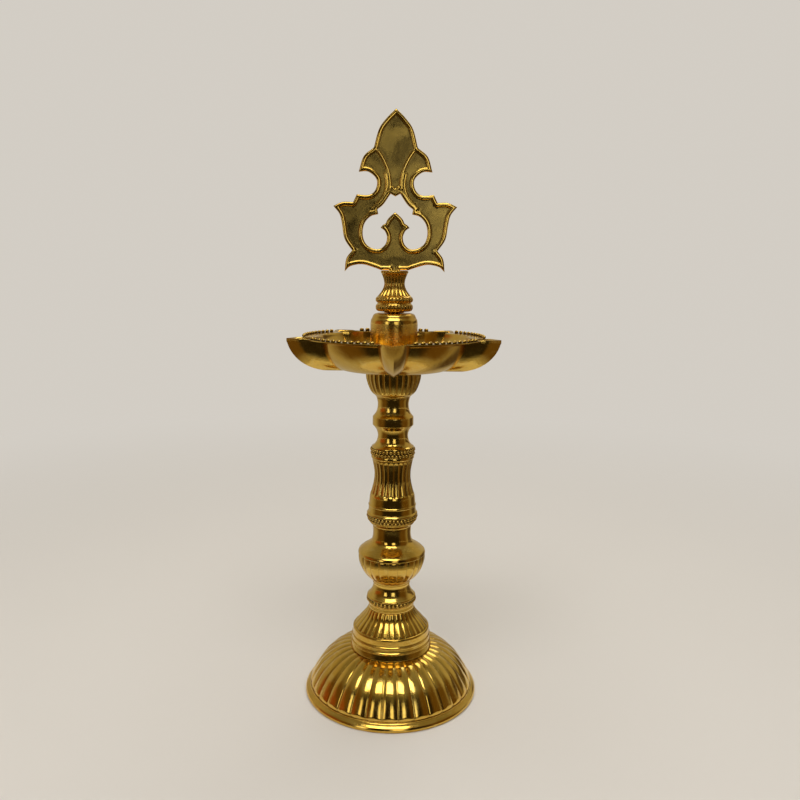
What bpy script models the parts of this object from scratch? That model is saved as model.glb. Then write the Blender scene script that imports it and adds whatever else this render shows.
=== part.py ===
"""A standing brass oil lamp (samai), as the separate pieces that screw together on its axis.

A hollow bell foot carries a small dome, two solid stem sections, a cup, a five-spouted oil dish
with a raised socket, and a pierced finial. Each section screws into the one below it with a
threaded stud, drawn here as a plain cylinder at the thread's outer size.

Heights are millimetres above the table and radii are millimetres from the axis, which is +Z. The
origin is the middle of the foot's underside, and one of the dish's spouts points along -Y.
"""
import math

import bmesh
import bpy

MM = 0.001
GAP = 0.3                  # left between faces that touch on the real lamp

# heights of the faces that the sections seat on
CROWN_Z = 37.0             # the bell's crown, under the collar
BASE_TOP_Z = 70.0
STEM_JOINT_Z = 138.8       # where the two stem sections meet
CUP_Z = 242.3
DISH_Z = 264.0
DISH_RIM_Z = 289.8
SOCKET_TOP_Z = 307.6
PLATE_Z = 340.0
TIP_Z = 457.0

# the foot
FOOT_R = 69.8
LIP_R = 66.4
CROWN_R = 33.4
CROWN_HOLE_R = 26.0
SHELL = 2.4                # wall of the bell, the collar and the dish

# the threaded studs: radius, clearance round them, and how far each one screws in
STUD_R = 5.0
FINIAL_STUD_R = 4.0
BORE_CLEARANCE = 0.3
ENGAGED = 12.0
FIXED = 12.5               # the length held in the section above
BORE_SPARE = 1.0           # space left past a stud's end

# the oil dish
DISH_FLOOR_R = 35.0
DISH_WALL_R = 61.0         # the top of the wall between two spouts
DISH_LIP_R = 70.3          # the out-turned lip on top of it
SPOUTS = 5
SPOUT_TIP_R = 83.4
SPOUT_HALF_WIDTH = 11.7
WALL_POWER = 1.22          # above 1 gives the wall a rounder foot
KEEL_POWER = 0.636         # below 1 gives the prow a fuller chin
ARCH_POWER = 7             # how square the prow's shoulders are, seen from above
SOCKET_R = 18.2
GASKET_R = 16.5
GASKET_THICKNESS = 1.0

# the finial
PLATE_THICKNESS = 4.0
TANG_HALF_WIDTH = 4.0
TANG_DEPTH = 7.0

ROUND_STEPS = 24
FOOT_STEPS = 40

BRASS = (0.72, 0.50, 0.17, 1.0)
BRASS_WORN = (0.60, 0.42, 0.15, 1.0)
BRASS_FOOT = (0.76, 0.55, 0.20, 1.0)
LEATHER = (0.16, 0.10, 0.07, 1.0)


def clear_scene():
    for obj in list(bpy.data.objects):
        bpy.data.objects.remove(obj, do_unlink=True)


def new_collection(name):
    collection = bpy.data.collections.new(name)
    bpy.context.scene.collection.children.link(collection)
    return collection


def material(name, colour, roughness, metallic=1.0):
    mat = bpy.data.materials.new(name)
    mat.use_nodes = True
    shader = mat.node_tree.nodes["Principled BSDF"]
    shader.inputs["Base Color"].default_value = colour
    shader.inputs["Roughness"].default_value = roughness
    shader.inputs["Metallic"].default_value = metallic
    return mat


def smooth(points, steps=2):
    """A smooth curve through the points, with a few steps between each two."""
    first = [2 * a - b for a, b in zip(points[0], points[1])]
    last = [2 * a - b for a, b in zip(points[-1], points[-2])]
    padded = [first, *points, last]
    curve = []
    for i in range(1, len(points)):
        before, start, end, after = padded[i - 1:i + 3]
        for step in range(steps):
            t = step / steps
            curve.append(tuple(
                0.5 * (2 * b + (c - a) * t + (2 * a - 5 * b + 4 * c - d) * t ** 2
                       + (3 * b - a - 3 * c + d) * t ** 3)
                for a, b, c, d in zip(before, start, end, after)))
    return curve + [tuple(points[-1])]


def finish(obj, collection, mat, parent):
    collection.objects.link(obj)
    obj.data.materials.append(mat)
    if parent:
        obj.parent = parent
    return obj


def turned(name, outline, mat, collection, parent=None, seat=0.0, closed=False, steps=ROUND_STEPS):
    """A lathe-turned piece. Its outline is (radius, height) and runs down the outer side."""
    mesh = bpy.data.meshes.new(name)
    verts = [(r * MM, 0, (z - seat) * MM) for r, z in outline]
    edges = [(i, i + 1) for i in range(len(verts) - 1)]
    if closed:
        edges.append((len(verts) - 1, 0))
    mesh.from_pydata(verts, edges, [])
    obj = bpy.data.objects.new(name, mesh)
    screw = obj.modifiers.new("turn", "SCREW")
    screw.axis = "Z"
    screw.angle = math.tau
    screw.steps = steps
    screw.render_steps = steps
    screw.use_merge_vertices = True
    screw.merge_threshold = 0.00001
    screw.use_smooth_shade = True
    return finish(obj, collection, mat, parent)


def joint_empty(name, height, below, collection):
    """An empty on the lamp's axis, at the seat that the section above unscrews from."""
    empty = bpy.data.objects.new(name, None)
    empty.empty_display_size = 20 * MM
    if below:
        empty.parent = below
    empty["height_mm"] = height
    empty.location.z = (height - (below["height_mm"] if below else 0)) * MM
    collection.objects.link(empty)
    return empty


def bored(side, top_bore=0.0, bottom_bore=0.0, radius=STUD_R + BORE_CLEARANCE):
    """Closes a side outline on the axis, with a blind bore for a stud at either end."""
    top, bottom = side[0][1], side[-1][1]
    head = [(0, top - top_bore), (radius, top - top_bore), (radius, top)]
    foot = [(radius, bottom), (radius, bottom + bottom_bore), (0, bottom + bottom_bore)]
    return (head if top_bore else [(0, top)]) + side + (foot if bottom_bore else [(0, bottom)])


def sleeve(side, radius=STUD_R + BORE_CLEARANCE):
    """Adds a straight bore right through a side outline, for a closed outline."""
    return side + [(radius, side[-1][1]), (radius, side[0][1])]


def base_bell(parts):
    """The hollow cast foot: a domed wall, a rolled lip on the table and an open crown."""
    dome = smooth([(CROWN_R + 0.2, CROWN_Z + 0.1), (40, 35.3), (48, 31.0), (56, 24.0),
                   (61.8, 15.8), (65.2, 9.4), (LIP_R, 5.8)])
    lip = [(67.8, 4.5), (69.2, 3.3), (FOOT_R, 1.7), (FOOT_R - 0.4, 0), (FOOT_R - 6, 0)]
    inside = [(LIP_R - SHELL - 0.4, 5.0), (62.8, 9.0), (59.3, 15.0), (53.8, 22.6), (46.6, 28.7),
              (39.2, 32.6), (CROWN_R, CROWN_Z - SHELL)]
    crown = [(CROWN_HOLE_R, CROWN_Z - SHELL), (CROWN_HOLE_R, CROWN_Z)]
    return turned("base_bell", dome + lip + inside + crown, material("bell_brass", BRASS_FOOT, 0.16),
                  parts, closed=True, steps=FOOT_STEPS)


def base_collar(parts):
    """The small hollow dome and ringed band on the bell, with a boss that takes the lower stud."""
    bottom = CROWN_Z + GAP + 0.1
    dome = smooth([(18.4, BASE_TOP_Z), (21.2, 65.0), (24.8, 60.9), (27.5, 57.6), (29.6, 55.0)])
    band = [(30.9, 53.5), (31.2, 48.5), (31.8, 47.7), (31.5, 46.9), (31.7, 43.9), (32.3, 43.1),
            (32.0, 42.3), (33.1, bottom)]
    boss_foot = BASE_TOP_Z - ENGAGED
    inside = [(30.4, bottom), (28.4, 52.4), (25.4, 55.8), (22.2, 59.4), (12, 63.0), (12, boss_foot)]
    bore = STUD_R + BORE_CLEARANCE
    outline = dome + band + inside + [(bore, boss_foot), (bore, BASE_TOP_Z)]
    return turned("base_collar", outline, material("collar_brass", BRASS_FOOT, 0.15), parts,
                  closed=True, steps=32)


def lower_stem(parts, parent):
    """The solid section with the beaded foot ring, the urn and its sloping shoulder."""
    neck = smooth([(15.4, STEM_JOINT_Z - GAP), (15.1, 133), (15.5, 128.8), (16.5, 126)])
    shoulder = smooth([(19.4, 123.2), (24.0, 120.4), (26.3, 118.4), (26.9, 116.6)])
    urn = smooth([(26.9, 115), (26.3, 109.2), (24.2, 103.4), (20.7, 98.4), (16.6, 94.2),
                  (14.9, 91.2), (14.8, 88.2), (16.4, 84), (18.7, 80.6)])
    ring = [(19.5, 79.2), (19.8, 77.6), (19.2, 75.8), (18.2, 74.8), (18.3, BASE_TOP_Z + GAP)]
    bore = FIXED + BORE_SPARE
    outline = bored(neck + shoulder + urn + ring, top_bore=ENGAGED + BORE_SPARE, bottom_bore=bore)
    return turned("lower_stem", outline, material("lower_stem_brass", BRASS, 0.15), parts, parent,
                  seat=BASE_TOP_Z)


def upper_stem(parts, parent):
    """The solid section with the flanged vase, the bead ring, the plain ring and two necks."""
    top_neck = smooth([(12.9, CUP_Z - GAP), (12.1, 237.6), (12.5, 233.4), (15.2, 228)])
    plain_ring = [(16.0, 227.2), (16.05, 220.9), (14.7, 219.4)]
    neck = smooth([(13.0, 216.9), (11.85, 212.5), (12.9, 207.2), (15.0, 203.6)])
    bead_ring = [(16.6, 202.8), (17.8, 200.6), (17.8, 198), (17.1, 194.4), (16.4, 193.2)]
    vase = smooth([(16.0, 191.4), (14.6, 184.5), (14.5, 177.5), (15.6, 171.4), (17.6, 164),
                   (18.6, 156)])
    flange = [(18.9, 150.8), (20.2, 147.6), (20.8, 145.4), (20.2, 143.2), (18.2, 141.6),
              (15.9, 140.2), (15.5, STEM_JOINT_Z)]
    side = top_neck + plain_ring + neck + bead_ring + vase + flange
    outline = bored(side, top_bore=ENGAGED + BORE_SPARE, bottom_bore=FIXED + BORE_SPARE)
    return turned("upper_stem", outline, material("upper_stem_brass", BRASS, 0.15), parts, parent,
                  seat=STEM_JOINT_Z)


def dish_cup(parts, parent):
    """The cup that the dish rests in."""
    side = smooth([(20.6, DISH_Z - GAP), (21.4, 261), (21.2, 257), (19.9, 251.8), (18, 248),
                   (15.2, 244.9)]) + [(14.2, 243.9), (13.2, CUP_Z)]
    return turned("dish_cup", sleeve(side), material("cup_brass", BRASS, 0.16), parts, parent,
                  seat=CUP_Z, closed=True)


def dish_row(turn, inset=0.0):
    """A ring of points round the dish's wall: at the floor at turn 0, and at the rim at turn 90.

    The wall is a bowl with boat-shaped spouts. A crease parts each spout from the bowl, and the
    columns of points follow the creases. The inset makes the inner side.
    """
    angle = math.radians(turn)
    height = DISH_RIM_Z - (DISH_RIM_Z - DISH_Z - inset) * max(math.cos(angle), 0) ** WALL_POWER
    bowl = DISH_FLOOR_R + (DISH_WALL_R - DISH_FLOOR_R) * math.sin(angle) - inset
    keel = DISH_FLOOR_R + (SPOUT_TIP_R - DISH_FLOOR_R) * math.sin(angle) ** KEEL_POWER
    half_width = SPOUT_HALF_WIDTH * math.sin(angle) - 0.7 * inset
    return dish_ring(bowl, keel - 1.8 * inset, half_width, height, square=math.sin(angle) / 2)


def dish_lip(height, rim_height):
    """A ring of points round the dish's lip, which stands out between the spouts only."""
    return dish_ring(DISH_WALL_R, SPOUT_TIP_R, SPOUT_HALF_WIDTH, rim_height, DISH_LIP_R, height)


def dish_ring(bowl, keel, half_width, height, lip=None, lip_height=None, square=0.5, prow_steps=5,
              lobe_steps=6):
    """One level of the dish: five pointed spouts with a round lobe between each two.

    Square is 0 for a plain wedge, and more for a prow with shoulders. Where there is a lip, each
    prow stops where it meets the lip.
    """
    crease_x = math.sqrt(bowl ** 2 - half_width ** 2)

    def prow_point(t):
        out = t + (t ** ARCH_POWER - t) * square
        return keel - (keel - crease_x) * out, half_width * t

    last = 1.0
    while lip and math.hypot(*prow_point(last)) < lip:
        last -= 0.01
    prow = [prow_point(last * step / prow_steps) for step in range(prow_steps + 1)]
    polar = [(math.hypot(x, y), math.atan2(y, x), height) for x, y in prow]
    round_r, crease = polar[-1][:2]
    lobe = math.tau / SPOUTS - 2 * crease
    side = [(round_r, crease + lobe * step / lobe_steps, lip_height or height)
            for step in range(1, lobe_steps)]
    back = [(r, math.tau / SPOUTS - a, z) for r, a, z in polar[:0:-1]]
    ring = []
    for spout in range(SPOUTS):
        middle = -math.pi / 2 + math.tau * spout / SPOUTS
        ring += [(r * math.cos(middle + a), r * math.sin(middle + a), z)
                 for r, a, z in polar + side + back]
    return ring


def bridge(rings, bm):
    """Joins a list of rings, each to the next, and the last back to the first."""
    loops = [[bm.verts.new([c * MM for c in point]) for point in ring] for ring in rings]
    count = len(loops[0])
    for lower, upper in zip(loops, loops[1:] + loops[:1]):
        for i in range(count):
            j = (i + 1) % count
            bm.faces.new((lower[i], lower[j], upper[j], upper[i]))


def oil_dish(parts, parent):
    """The cast dish: a floor with a hole for the stud, and a wall with five spouts."""
    turns = [18, 30, 42, 54, 66, 78]
    outside = [dish_row(turn) for turn in turns]
    lip = [dish_lip(288.4, 288.6), dish_lip(289.4, DISH_RIM_Z), dish_row(90, SHELL)]
    inside = [dish_row(turn, SHELL) for turn in reversed(turns)]
    hole = STUD_R + BORE_CLEARANCE
    seat = SOCKET_R + 3        # the floor is flat under the socket and over the cup
    around = [math.atan2(y, x) for x, y, _ in outside[0]]
    floor = [[(radius * math.cos(a), radius * math.sin(a), height) for a in around]
             for radius, height in ((seat, DISH_Z + SHELL), (hole, DISH_Z + SHELL), (hole, DISH_Z),
                                    (seat, DISH_Z))]
    bm = bmesh.new()
    bridge([*outside, *lip, *inside, *floor], bm)
    bmesh.ops.translate(bm, verts=bm.verts, vec=(0, 0, -CUP_Z * MM))
    mesh = bpy.data.meshes.new("oil_dish")
    bm.to_mesh(mesh)
    bm.free()
    mesh.shade_smooth()
    mesh.set_sharp_from_angle(angle=math.radians(35))
    return finish(bpy.data.objects.new("oil_dish", mesh), parts, material("dish_brass", BRASS, 0.17),
                  parent)


def dish_gasket(parts, parent):
    """The flat leather washer that keeps oil out of the dish's hole, hidden under the socket."""
    bottom = DISH_Z + SHELL + GAP
    side = [(GASKET_R, bottom + GASKET_THICKNESS), (GASKET_R, bottom)]
    return turned("dish_gasket", sleeve(side), material("gasket_leather", LEATHER, 0.85, 0.0), parts,
                  parent, seat=CUP_Z, closed=True)


def dish_socket(parts, parent):
    """The round-shouldered post in the dish, which clamps it down and takes the finial."""
    bottom = DISH_Z + SHELL + GASKET_THICKNESS + 2 * GAP
    shoulder = smooth([(13.4, SOCKET_TOP_Z), (15.9, 306.4), (16.7, 304.4)])
    wall = smooth([(17.4, 303.2), (18.0, 301.4), (SOCKET_R, 299)]) + [(SOCKET_R, bottom)]
    outline = [(0, SOCKET_TOP_Z - ENGAGED - BORE_SPARE),
               (FINIAL_STUD_R + BORE_CLEARANCE, SOCKET_TOP_Z - ENGAGED - BORE_SPARE),
               (FINIAL_STUD_R + BORE_CLEARANCE, SOCKET_TOP_Z)]
    outline += bored(shoulder + wall, bottom_bore=FIXED + BORE_SPARE)[1:]
    return turned("dish_socket", outline, material("socket_brass", BRASS, 0.15), parts, parent,
                  seat=CUP_Z)


def stud(name, low, high, radius, parts, parent, seat):
    """A threaded stud, as a plain cylinder with chamfered ends."""
    chamfer = 0.8
    outline = [(0, high), (radius - chamfer, high), (radius, high - chamfer),
               (radius, low + chamfer), (radius - chamfer, low), (0, low)]
    return turned(name, outline, material(name + "_brass", BRASS_WORN, 0.35), parts, parent,
                  seat=seat, steps=16)


def finial_stem(parts, cutters, parent):
    """The small waisted stem with two beaded rings, slotted across its top for the plate."""
    top = PLATE_Z - GAP
    waist = smooth([(10.6, top), (10.2, 337.4), (8.4, 334), (7.7, 330.4), (9.1, 325.2),
                    (11.9, 321.4), (13.5, 319.6)])
    rings = [(14.4, 318.2), (14.3, 316.6), (12.9, 315.2), (14.2, 312.6), (14.2, 310.6),
             (12.6, 309), (7.7, 308.9), (7.7, SOCKET_TOP_Z + GAP)]
    outline = bored(waist + rings, bottom_bore=FIXED + BORE_SPARE,
                    radius=FINIAL_STUD_R + BORE_CLEARANCE)
    obj = turned("finial_stem", outline, material("finial_stem_brass", BRASS, 0.2), parts, parent,
                 seat=SOCKET_TOP_Z)
    slot_bottom = PLATE_Z - TANG_DEPTH - GAP
    size = (2 * (TANG_HALF_WIDTH + GAP), PLATE_THICKNESS + 2 * GAP, PLATE_Z + 5 - slot_bottom)
    bm = bmesh.new()
    bmesh.ops.create_cube(bm, size=1)
    bmesh.ops.scale(bm, verts=bm.verts, vec=[s * MM for s in size])
    mesh = bpy.data.meshes.new("tang_slot_cutter")
    bm.to_mesh(mesh)
    bm.free()
    cutter = bpy.data.objects.new("tang_slot_cutter", mesh)
    cutter.parent = parent
    cutter.location.z = (slot_bottom + size[2] / 2 - SOCKET_TOP_Z) * MM
    cutter.hide_render = True
    cutter.display_type = "WIRE"
    cutters.objects.link(cutter)
    cut = obj.modifiers.new("tang_slot", "BOOLEAN")
    cut.operation = "DIFFERENCE"
    cut.solver = "EXACT"
    cut.object = cutter
    return obj


def half_outline():
    """The right half of the plate's outer edge, from the tip down to the tang."""
    leaf = smooth([(0, TIP_Z), (7.0, 450.2), (12.6, 442.4), (16.3, 429.3)], 3)
    side_lobe = smooth([(16.3, 429.3), (23.8, 423.0), (27.4, 412)], 3)
    waist = smooth([(27.4, 412), (20.8, 412.2), (15.3, 408.4), (13.7, 403.7), (15.6, 398),
                    (20.4, 395.1), (28.8, 395.6)], 3)
    shoulder = [(28.8, 395.6), (31.6, 389.9)]
    wing_top = smooth([(31.6, 389.9), (39.2, 390.0), (46.4, 387.0)])
    wing_side = smooth([(46.4, 387.0), (41.7, 381), (39.9, 373.8), (38.0, 363), (32.3, 354.4)], 3)
    claw = smooth([(32.3, 354.4), (36.7, 348.3), (37.9, 338.8)], 3)
    under = smooth([(37.9, 338.8), (33.5, 342.7), (24.8, 344.2), (16, 342), (10.4, PLATE_Z)], 3)
    tang = [(10.4, PLATE_Z), (TANG_HALF_WIDTH, PLATE_Z), (TANG_HALF_WIDTH, PLATE_Z - TANG_DEPTH)]
    pieces = [leaf, side_lobe, waist, shoulder, wing_top, wing_side, claw, under]
    return [point for piece in pieces for point in piece[:-1]] + tang


def half_opening():
    """The right half of the plate's opening, from the pendant under the leaf to the inner leaf."""
    stalk = smooth([(3.6, 396.3), (8.9, 388.7), (13.4, 384.9)])
    lobe = smooth([(12.7, 381.4), (18.6, 379.6), (23.2, 374.2), (24.4, 366.6), (22.3, 360),
                   (17.2, 356.2), (11.4, 355.8), (7.2, 359.3), (5.9, 364.4), (7.6, 368.7),
                   (10.9, 371.4)], 3)
    inner_leaf = smooth([(10.9, 371.4), (6.4, 376.2), (0, 382.8)])
    return [(0, 394.4)] + stalk + lobe[:-1] + inner_leaf


def finial_plate(parts, parent):
    """The flat pierced plate, cut from its outline, with the tang that fits the stem's slot."""
    curve = bpy.data.curves.new("finial_plate", "CURVE")
    curve.dimensions = "2D"
    curve.fill_mode = "BOTH"
    curve.extrude = PLATE_THICKNESS / 2 * MM
    for half, mirrored_from in ((half_outline(), slice(None, 0, -1)),
                                (half_opening(), slice(-2, 0, -1))):
        points = half + [(-x, z) for x, z in half[mirrored_from]]
        spline = curve.splines.new("POLY")
        spline.points.add(len(points) - 1)
        for knot, (x, z) in zip(spline.points, points):
            knot.co = (x * MM, (z - SOCKET_TOP_Z) * MM, 0, 1)
        spline.use_cyclic_u = True
    obj = finish(bpy.data.objects.new("finial_plate", curve), parts,
                 material("plate_brass", BRASS_WORN, 0.24), parent)
    obj.rotation_euler.x = math.pi / 2
    return obj


def build():
    clear_scene()
    parts = new_collection("brass_oil_lamp")
    cutters = new_collection("cutters")

    base_bell(parts)
    base_collar(parts)

    lower_joint = joint_empty("lower_joint", BASE_TOP_Z, None, parts)
    lower_stem(parts, lower_joint)
    stud("lower_stud", BASE_TOP_Z - ENGAGED, BASE_TOP_Z + FIXED, STUD_R, parts, lower_joint,
         BASE_TOP_Z)

    middle_joint = joint_empty("middle_joint", STEM_JOINT_Z, lower_joint, parts)
    upper_stem(parts, middle_joint)
    stud("middle_stud", STEM_JOINT_Z - ENGAGED, STEM_JOINT_Z + FIXED, STUD_R, parts, middle_joint,
         STEM_JOINT_Z)

    dish_joint = joint_empty("dish_joint", CUP_Z, middle_joint, parts)
    dish_cup(parts, dish_joint)
    oil_dish(parts, dish_joint)
    dish_gasket(parts, dish_joint)
    dish_socket(parts, dish_joint)
    socket_bottom = DISH_Z + SHELL + GASKET_THICKNESS + 2 * GAP
    stud("dish_stud", CUP_Z - ENGAGED, socket_bottom + FIXED, STUD_R, parts, dish_joint, CUP_Z)

    finial_joint = joint_empty("finial_joint", SOCKET_TOP_Z, dish_joint, parts)
    finial_stem(parts, cutters, finial_joint)
    finial_plate(parts, finial_joint)
    stud("finial_stud", SOCKET_TOP_Z - ENGAGED, SOCKET_TOP_Z + FIXED, FINIAL_STUD_R, parts,
         finial_joint, SOCKET_TOP_Z)


build()
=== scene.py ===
import math

import bpy
import numpy as np
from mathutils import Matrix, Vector, geometry

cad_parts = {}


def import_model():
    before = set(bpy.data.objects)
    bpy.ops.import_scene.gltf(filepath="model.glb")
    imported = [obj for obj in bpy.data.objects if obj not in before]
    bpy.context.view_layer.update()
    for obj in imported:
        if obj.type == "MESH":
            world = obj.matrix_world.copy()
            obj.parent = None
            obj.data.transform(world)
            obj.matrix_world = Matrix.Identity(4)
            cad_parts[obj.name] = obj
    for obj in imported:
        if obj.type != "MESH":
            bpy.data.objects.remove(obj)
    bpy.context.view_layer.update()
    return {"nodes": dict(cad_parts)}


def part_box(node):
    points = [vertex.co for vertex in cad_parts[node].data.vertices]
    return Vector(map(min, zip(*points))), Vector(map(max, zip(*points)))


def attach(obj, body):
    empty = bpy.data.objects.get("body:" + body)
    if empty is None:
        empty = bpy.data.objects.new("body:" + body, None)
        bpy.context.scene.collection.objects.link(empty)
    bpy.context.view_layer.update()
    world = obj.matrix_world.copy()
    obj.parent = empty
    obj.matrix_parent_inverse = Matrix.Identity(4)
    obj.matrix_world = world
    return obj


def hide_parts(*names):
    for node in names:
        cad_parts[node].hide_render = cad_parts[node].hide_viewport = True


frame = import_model()

# The looks of a standing brass oil lamp (samai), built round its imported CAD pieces.
#
# Lengths are millimetres until a mesh is made. Radii are from the lamp's axis, +Z, and heights are
# above the table. Every turned piece is an outline that runs down its outer side, with flutes,
# lobes and beads raised on it, so that the pattern is real shape and not only shading.
MM = 0.001

# seats between the sections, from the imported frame
SEAT = {node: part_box(node)[0].z / MM for node in frame["nodes"]}
TOP = {node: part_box(node)[1].z / MM for node in frame["nodes"]}

# the screwed joints
STUD_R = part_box("lower_stud")[1].x / MM
FINIAL_STUD_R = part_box("finial_stud")[1].x / MM
BORE_GAP = 0.3
BORE_R = STUD_R + BORE_GAP
FINIAL_BORE_R = FINIAL_STUD_R + BORE_GAP
BORE_DEPTH = 13.3
BORE_CHAMFER = 0.5
THREAD_PITCH = 1.5
THREAD_DEPTH = 0.75

# how many times each pattern repeats round its ring
BELL_LOBES = 33
DOME_LOBES = 28
URN_PANELS = 21
LOWER_BEADS = 36
UPPER_BEADS = 36
FLANGE_BEADS = 40
VASE_FLUTES = 26
CUP_FLUTES = 30
WAIST_FLUTES = 24
RING_RIBS = 30

# the dish: a round bowl with an out-turned lip, and five spouts like the prow of a boat
SPOUTS = 5
DISH_FLOOR_R = 35.0
DISH_WALL_R = 61.0
DISH_LIP_R = 70.3
DISH_WALL = 2.4
DISH_SEAT_R = 21.2         # the flat under the socket
SPOUT_TIP_R = 83.4
SPOUT_HALF_WIDTH = 11.7
WALL_POWER = 1.22
KEEL_POWER = 0.636
ARCH_POWER = 7
RIM_BEADS = 12             # on each lobe between two spouts
RIM_BEAD_R = 1.25
RIM_BEAD_LONG = 1.6        # its length along the rim against its width
RIM_BEAD_PITCH = 4.25      # degrees
RIM_BEAD_INSET = 1.15      # from the lip's edge in to a bead's middle

# the finial plate, as half thicknesses and as distances in from its edge
PLATE_HALF = 2.0           # at the crest of the raised border
FIELD_HALF = 1.15
EDGE_HALF = 1.0
TANG_HALF = 1.9
CREST_IN = 1.55
GROOVE_IN = 3.15
GROOVE_HALF_WIDTH = 0.45
GROOVE_DEPTH = 0.2
LINE_HEIGHT = 0.75
LINE_HALF_WIDTH = 1.25
TANG_TOP = 340.0
TANG_HALF_WIDTH = 4.0
PLATE_GAP = 0.55           # between points along its edges
FIELD_GAP = 1.3            # between points in its field

# metal colours
GOLD = (0.80, 0.535, 0.11)
GOLD_PALE = (0.86, 0.64, 0.20)
GOLD_DEEP = (0.70, 0.42, 0.07)
STUD_GOLD = (0.58, 0.42, 0.16)
OLIVE = (0.44, 0.305, 0.07)
OLIVE_DEEP = (0.15, 0.105, 0.028)
TARNISH_AND_SHADE = (0.055, 0.032, 0.012)

# what the camera sees behind the lamp, and what the brass sees round it
BACKDROP = (0.65, 0.612, 0.555)
DARK = (0.022, 0.016, 0.007)
BROWN = (0.13, 0.075, 0.02)
BROWN_DEEP = (0.055, 0.028, 0.008)
PALE = (0.42, 0.38, 0.29)
CEILING = (0.24, 0.22, 0.17)
RED = (0.34, 0.09, 0.025)

# the camera, in metres and degrees
LENS = 34.2
CAMERA_AT = (0.0, -0.586, 0.337)
CAMERA_DOWN = 9.4
CAMERA_ROLL = -0.6
CAMERA_SHIFT = 0.00675     # the lamp stands a little left of the middle


# ---- outlines

def smooth(points, steps=5):
    """A smooth curve through the points."""
    first = [2 * a - b for a, b in zip(points[0], points[1])]
    last = [2 * a - b for a, b in zip(points[-1], points[-2])]
    padded = [first, *points, last]
    curve = []
    for i in range(1, len(points)):
        before, start, end, after = padded[i - 1:i + 3]
        for step in range(steps):
            t = step / steps
            curve.append(tuple(
                0.5 * (2 * b + (c - a) * t + (2 * a - 5 * b + 4 * c - d) * t ** 2
                       + (3 * b - a - 3 * c + d) * t ** 3)
                for a, b, c, d in zip(before, start, end, after)))
    return curve + [tuple(points[-1])]


def eased(points, radius=0.22, corner=12.0):
    """The outline with a small round at each corner, as a polished edge has."""
    points = [np.array(p, float) for p in points]
    out = [points[0]]
    for before, here, after in zip(points, points[1:], points[2:]):
        back, on = before - here, after - here
        turn = math.degrees(math.acos(np.clip(
            -back @ on / (np.linalg.norm(back) * np.linalg.norm(on) + 1e-12), -1, 1)))
        if turn < corner:
            out.append(here)
            continue
        a = here + back * min(0.45, radius / np.linalg.norm(back))
        b = here + on * min(0.45, radius / np.linalg.norm(on))
        out += [a, 0.25 * a + 0.5 * here + 0.25 * b, b]
    return np.array(out + [points[-1]])


def spaced(outline, step, fine=()):
    """More points along an outline: no gap above the step, or above a fine band's own step."""
    out = [outline[0]]
    for a, b in zip(outline, outline[1:]):
        z = (a[1] + b[1]) / 2
        gap = min([s for high, low, s in fine if low <= z <= high], default=step)
        count = max(1, math.ceil(np.linalg.norm(b - a) / gap))
        out += [a + (b - a) * k / count for k in range(1, count + 1)]
    return np.array(out)


def bore(height, up, radius):
    """A blind threaded hole in a section's end, from the axis out to the mouth's chamfer."""
    inward = -1 if up else 1
    deep = height + inward * BORE_DEPTH
    return [(0, deep), (radius * 0.85, deep), (radius, deep - inward * 0.8),
            (radius, height + inward * 0.6), (radius + BORE_CHAMFER, height)]


# ---- relief on a turned piece

def cells(angle, count, phase=0.0):
    """Where an angle lies across its repeat, from -1 to 1."""
    return ((angle / math.tau * count + phase) % 1) * 2 - 1


def ramp(value, low, high):
    """0 below low and 1 above high, with an eased rise between them."""
    t = np.clip((value - low) / (high - low), 0, 1)
    return t * t * (3 - 2 * t)


def cell_edge(across, along, length, half, round_top, round_end, power):
    """How near a point is to its cell's edge, from 0 in the middle to 1, where the ends are round."""
    end = np.zeros_like(across + along)
    if round_top:
        end = np.maximum(end, 1 - along / (half * round_top))
    if round_end:
        end = np.maximum(end, 1 - (length - along) / (half * round_end))
    return (across ** power + np.clip(end, 0, None) ** power) ** (1 / power)


def lobes(count, bulge, phase=0.0, round_top=0.0, round_end=0.0, crease=0.0, power=3.5):
    """Convex lobes side by side. The bulge is a share of a lobe's half width."""
    def raised(angle, along, length, radius):
        half = math.pi * radius / count
        across = np.abs(cells(angle, count, phase))
        edge = cell_edge(across, along, length, half, round_top, round_end, power)
        height = bulge * half * (np.clip(1 - edge ** 2, 0, 1) - 1)
        line = ramp(edge, 0.9, 1.0)
        # the second number darkens the crease between lobes, as tarnish and painted shade
        return height - crease * line, 0.75 * ramp(edge, 0.93, 1.0)
    return raised


def flutes(count, depth, phase=0.0, round_top=0.0, round_end=0.0):
    """Hollow flutes side by side, with sharp arrises between them and scooped ends."""
    def raised(angle, along, length, radius):
        half = math.pi * radius / count
        across = np.abs(cells(angle, count, phase))
        edge = cell_edge(across, along, length, half, round_top, round_end, 2.0)
        hollow = np.clip(1 - edge ** 2, 0, 1) ** 0.8
        # the second number darkens each flute's hollow, as tarnish and painted shade
        return -depth * half * hollow, 0.35 * hollow
    return raised


def beads(count, size, phase=0.0, ground=0.0):
    """A row of round beads along the middle of a band, over a ground sunk by a little."""
    def raised(angle, along, length, radius):
        half = math.pi * radius / count
        across = cells(angle, count, phase) * half
        out = np.sqrt(across ** 2 + (along - length / 2) ** 2) / size
        dome = np.sqrt(np.clip(1 - out ** 2, 0, 1))
        # the second number darkens the ground between the beads, as tarnish and painted shade
        return size * dome * 0.9 - ground, 0.9 * ramp(out, 0.75, 1.05)
    return raised


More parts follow.
